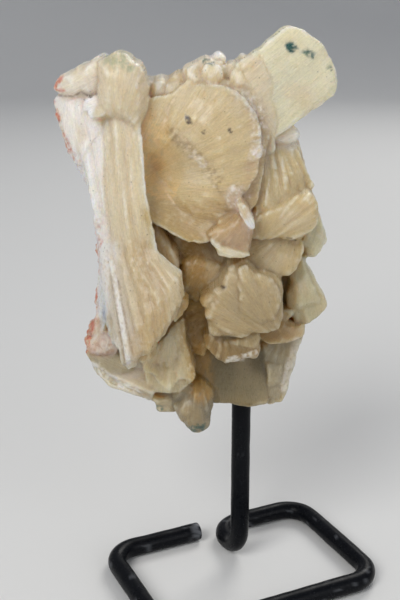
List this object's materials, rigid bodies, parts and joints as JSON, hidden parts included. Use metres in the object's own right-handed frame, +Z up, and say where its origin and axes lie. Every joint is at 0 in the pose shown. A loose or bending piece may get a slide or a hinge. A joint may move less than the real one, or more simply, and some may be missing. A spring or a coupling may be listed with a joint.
{
  "type": "stilbite crystal cluster on a rod stand",
  "caption": "Cluster of cream sheaf-like zeolite crystals held up on the post of a stand bent from one black painted rod.",
  "frame": {"origin": "on the surface it stands on, under the middle of its bounding box", "axes": "+Z up; the runs of the rod's foot lie along X and Y, and the free end is on the back run at +Y"},
  "size_m": [0.0932, 0.077, 0.18],
  "materials": {
    "stilbite": "waxy translucent crystal",
    "black_paint": "gloss"
  },
  "bodies": {
    "root": {"stilbite_cluster": "stilbite", "bent_rod_stand": "black_paint"}
  },
  "joints": []
}
